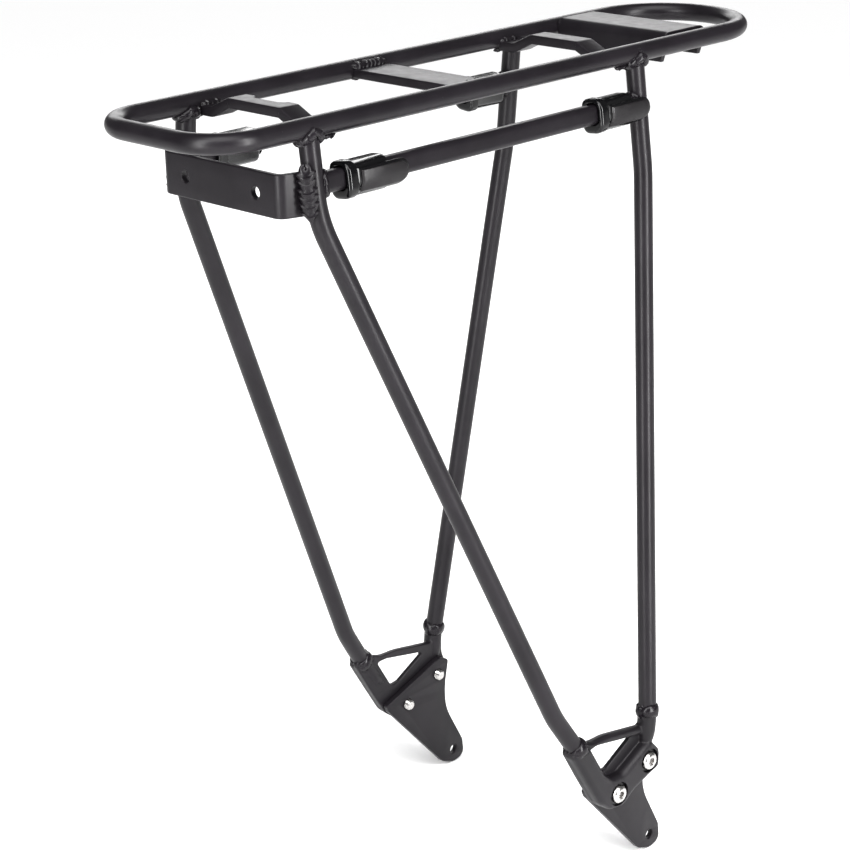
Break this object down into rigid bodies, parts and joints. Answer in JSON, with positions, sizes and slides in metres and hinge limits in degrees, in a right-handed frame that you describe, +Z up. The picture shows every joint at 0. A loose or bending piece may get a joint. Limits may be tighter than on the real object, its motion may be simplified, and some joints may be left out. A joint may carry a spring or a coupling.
{
  "type": "bicycle rear rack",
  "caption": "Welded black rod rear rack with a stadium-shaped deck loop, bent legs, cast feet on eyelet plates, a light bracket and sliding side clips.",
  "frame": {"origin": "midway between the two dropout eyelets, on the line through their centres", "axes": "+X forward (towards the saddle), +Y left, +Z up"},
  "size_m": [0.414, 0.1814, 0.4516],
  "materials": {
    "coated_rod": "satin black coating on aluminium rod",
    "coated_plate": "satin black coating on aluminium plate",
    "coated_casting": "satin black coating on cast aluminium",
    "gloss_black_plastic": "glossy moulded plastic",
    "satin_black_plastic": "satin moulded plastic",
    "stainless": "bright stainless steel",
    "black_washer": "blackened steel"
  },
  "bodies": {
    "rack": {"top_loop": "coated_rod", "rear_arch": "coated_plate", "middle_plate": "coated_plate", "front_arch": "coated_plate", "front_cover": "coated_plate", "light_bracket": "coated_plate", "rear_leg_right": "coated_rod", "front_leg_right": "coated_rod", "side_bar_right": "coated_rod", "foot_casting_right": "coated_casting", "foot_plate_right": "coated_plate", "washer_upper_right": "black_washer", "washer_lower_right": "black_washer", "screw_upper_right": "stainless", "screw_lower_right": "stainless", "rear_leg_left": "coated_rod", "front_leg_left": "coated_rod", "side_bar_left": "coated_rod", "foot_casting_left": "coated_casting", "foot_plate_left": "coated_plate", "washer_upper_left": "black_washer", "washer_lower_left": "black_washer", "screw_upper_left": "stainless", "screw_lower_left": "stainless"},
    "clip_rear_right": {"clip_rear_sleeve_right": "gloss_black_plastic", "clip_rear_pad_right": "satin_black_plastic"},
    "clip_front_right": {"clip_front_sleeve_right": "gloss_black_plastic", "clip_front_pad_right": "satin_black_plastic"},
    "clip_rear_left": {"clip_rear_sleeve_left": "gloss_black_plastic", "clip_rear_pad_left": "satin_black_plastic"},
    "clip_front_left": {"clip_front_sleeve_left": "gloss_black_plastic", "clip_front_pad_left": "satin_black_plastic"}
  },
  "joints": [
    {"name": "clip_rear_right_slide", "type": "slide", "parent": "rack", "child": "clip_rear_right", "axis": [1, 0, 0], "range_m": [0, 0.06]},
    {"name": "clip_front_right_slide", "type": "slide", "parent": "rack", "child": "clip_front_right", "axis": [1, 0, 0], "range_m": [-0.06, 0]},
    {"name": "clip_rear_left_slide", "type": "slide", "parent": "rack", "child": "clip_rear_left", "axis": [1, 0, 0], "range_m": [0, 0.06]},
    {"name": "clip_front_left_slide", "type": "slide", "parent": "rack", "child": "clip_front_left", "axis": [1, 0, 0], "range_m": [-0.06, 0]}
  ]
}
